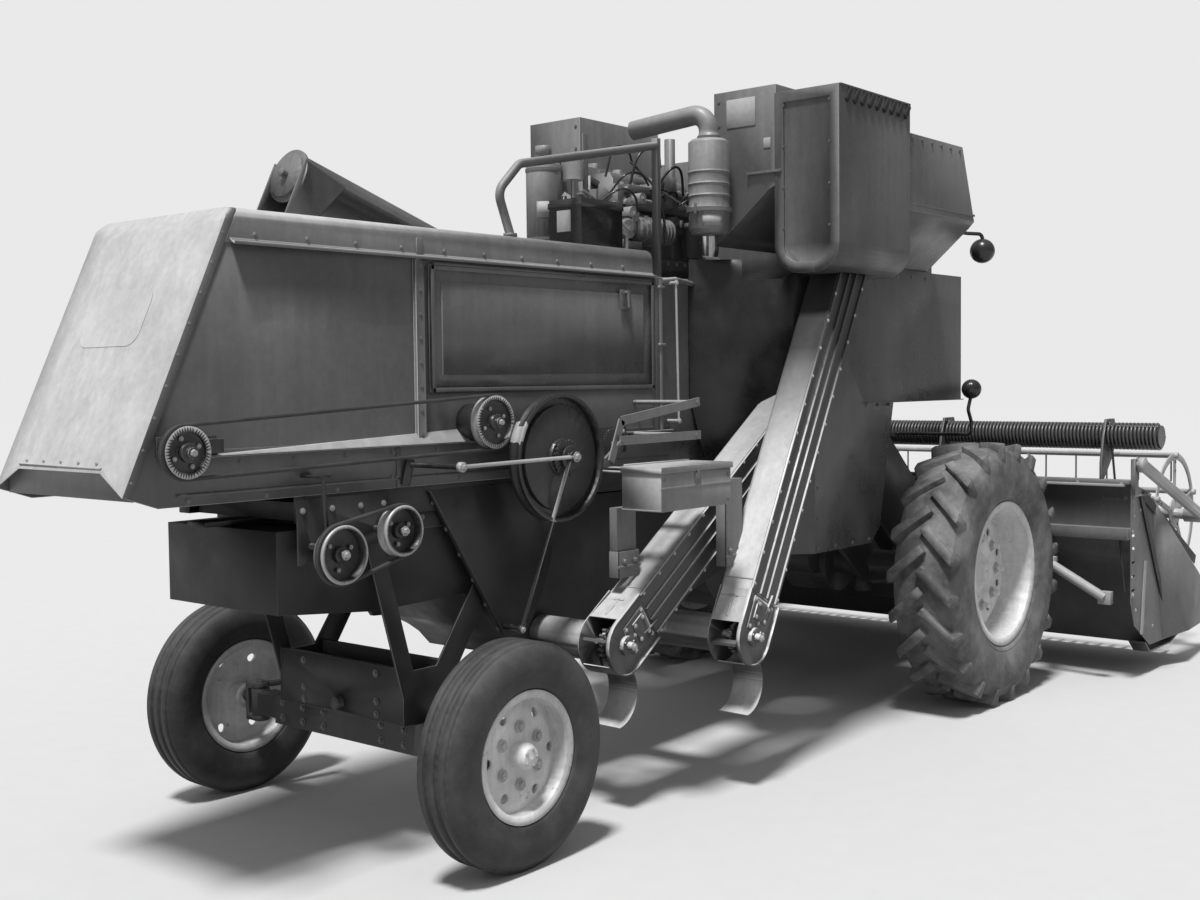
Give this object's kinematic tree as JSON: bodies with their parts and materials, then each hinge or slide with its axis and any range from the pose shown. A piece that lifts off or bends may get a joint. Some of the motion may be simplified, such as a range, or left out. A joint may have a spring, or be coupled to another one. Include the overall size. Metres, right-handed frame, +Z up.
{
  "type": "combine harvester",
  "caption": "Self-propelled combine harvester with cutting platform, tined reel, saddle grain tank, folded unloading auger and steered rear wheels.",
  "frame": {"origin": "on the ground, in the middle of the machine's length and width", "axes": "+X forward to the reel, +Y to the machine's left, +Z up"},
  "size_m": [6.6919, 3.09, 2.86],
  "materials": {
    "shaded_sheet": "satin",
    "pale_sheet": "satin",
    "frame_paint": "matte",
    "elevator_paint": "satin",
    "header_paint": "satin",
    "worn_steel": "worn",
    "reel_paint": "satin",
    "rim_paint": "satin",
    "tyre": "matte",
    "belt": "matte",
    "engine_paint": "satin",
    "black_parts": "gloss",
    "reservoir_paint": "satin",
    "seat_pad": "matte"
  },
  "bodies": {
    "machine": {"air_cleaner": "black_parts", "auger_swivel": "pale_sheet", "axle_stand": "frame_paint", "battery": "black_parts", "cleaning_shoe": "shaded_sheet", "countershaft": "worn_steel", "deck_cover": "pale_sheet", "drive_belts": "belt", "elevator_housing": "pale_sheet", "engine": "engine_paint", "front_axle": "frame_paint", "grain_elevator": "elevator_paint", "grain_tank": "pale_sheet", "guard_rail": "pale_sheet", "ladder": "shaded_sheet", "lift_cylinders": "frame_paint", "lower_drive": "worn_steel", "main_frame": "frame_paint", "oil_reservoir": "reservoir_paint", "operator_platform": "shaded_sheet", "radiator": "engine_paint", "rear_axle": "frame_paint", "seat": "seat_pad", "separator_body": "shaded_sheet", "shoe_drive": "worn_steel", "side_shield_left": "shaded_sheet", "side_shield_right": "shaded_sheet", "steering_column": "black_parts", "straw_hood": "pale_sheet", "tailings_elevator": "elevator_paint", "tool_box": "shaded_sheet", "walker_drive": "worn_steel", "work_lamps": "black_parts"},
    "wheel_front_left": {"front_rim_left": "rim_paint", "front_tyre_left": "tyre"},
    "wheel_front_right": {"front_rim_right": "rim_paint", "front_tyre_right": "tyre"},
    "steer_left": {"knuckle_left": "frame_paint"},
    "steer_right": {"knuckle_right": "frame_paint"},
    "wheel_rear_left": {"rear_rim_left": "rim_paint", "rear_tyre_left": "tyre"},
    "wheel_rear_right": {"rear_rim_right": "rim_paint", "rear_tyre_right": "tyre"},
    "tie": {"tie_rod": "frame_paint"},
    "header": {"feeder_house": "header_paint", "platform_pan": "header_paint", "dividers": "header_paint", "cutter_bar": "worn_steel", "balance_spring": "worn_steel", "spring_brackets": "header_paint"},
    "reel_frame": {"reel_arms": "header_paint"},
    "reel_rotor": {"reel": "reel_paint"},
    "auger_rotor": {"platform_auger": "worn_steel"},
    "unloader": {"unloading_auger": "pale_sheet"},
    "door_walker": {"walker_door": "shaded_sheet"},
    "lid_tool_box": {"tool_box_lid": "shaded_sheet"},
    "lid_tank": {"tank_lid": "pale_sheet"},
    "door_tailings": {"tailings_door": "elevator_paint"},
    "door_grain": {"grain_door": "elevator_paint"}
  },
  "joints": [
    {"name": "wheel_front_left_spin", "type": "hinge", "parent": "machine", "child": "wheel_front_left", "pos_m": [1.037, 0.93, 0.645], "axis": [0, 1, 0], "continuous": true},
    {"name": "wheel_front_right_spin", "type": "hinge", "parent": "machine", "child": "wheel_front_right", "pos_m": [1.037, -0.93, 0.645], "axis": [0, 1, 0], "continuous": true},
    {"name": "steer_left", "type": "hinge", "parent": "machine", "child": "steer_left", "pos_m": [-2.169, 0.612, 0.371], "axis": [0, 0, 1], "range_deg": [-35, 35]},
    {"name": "steer_right", "type": "hinge", "parent": "machine", "child": "steer_right", "pos_m": [-2.169, -0.612, 0.371], "axis": [0, 0, 1], "range_deg": [-35, 35]},
    {"name": "wheel_rear_left_spin", "type": "hinge", "parent": "steer_left", "child": "wheel_rear_left", "pos_m": [-2.169, 0.755, 0.381], "axis": [0, 1, 0], "continuous": true},
    {"name": "wheel_rear_right_spin", "type": "hinge", "parent": "steer_right", "child": "wheel_rear_right", "pos_m": [-2.169, -0.755, 0.381], "axis": [0, 1, 0], "continuous": true},
    {"name": "tie_slide", "type": "slide", "parent": "machine", "child": "tie", "axis": [0, 1, 0], "range_m": [-0.13, 0.13]},
    {"name": "header_lift", "type": "hinge", "parent": "machine", "child": "header", "pos_m": [1.011, 0, 1.25], "axis": [0, -1, 0], "range_deg": [-3.5, 16]},
    {"name": "reel_lift", "type": "hinge", "parent": "header", "child": "reel_frame", "pos_m": [1.841, 0, 1.15], "axis": [0, -1, 0], "range_deg": [0, 20]},
    {"name": "reel_spin", "type": "hinge", "parent": "reel_frame", "child": "reel_rotor", "pos_m": [2.831, 0, 0.81], "axis": [0, 1, 0], "continuous": true},
    {"name": "platform_auger_spin", "type": "hinge", "parent": "header", "child": "auger_rotor", "pos_m": [2.251, 0, 0.43], "axis": [0, 1, 0], "continuous": true},
    {"name": "unloading_auger_swing", "type": "hinge", "parent": "machine", "child": "unloader", "pos_m": [-0.289, 0.88, 1.89], "axis": [0, 0, -1], "range_deg": [0, 95]},
    {"name": "walker_door_hinge", "type": "hinge", "parent": "machine", "child": "door_walker", "pos_m": [-2.459, -0.37, 2.03], "axis": [-1, 0, 0], "range_deg": [0, 85]},
    {"name": "tool_box_lid_hinge", "type": "hinge", "parent": "machine", "child": "lid_tool_box", "pos_m": [-1.329, -0.727, 1.307], "axis": [-1, 0, 0], "range_deg": [0, 100]},
    {"name": "tank_lid_hinge", "type": "hinge", "parent": "machine", "child": "lid_tank", "pos_m": [0.673, 0, 2.708], "axis": [0, 1, 0], "range_deg": [0, 100]},
    {"name": "tailings_door_hinge", "type": "hinge", "parent": "machine", "child": "door_tailings", "pos_m": [-1.47854, -0.65, 0.52883], "axis": [0, 1, 0], "range_deg": [0, 100]},
    {"name": "grain_door_hinge", "type": "hinge", "parent": "machine", "child": "door_grain", "pos_m": [-0.93354, -0.85, 0.50083], "axis": [0, 1, 0], "range_deg": [0, 100]}
  ],
  "couplings": [
    {"joint": "steer_right", "follows": "steer_left", "ratio": 1},
    {"joint": "tie_slide", "follows": "steer_left", "m_per_rad": 0.2}
  ]
}
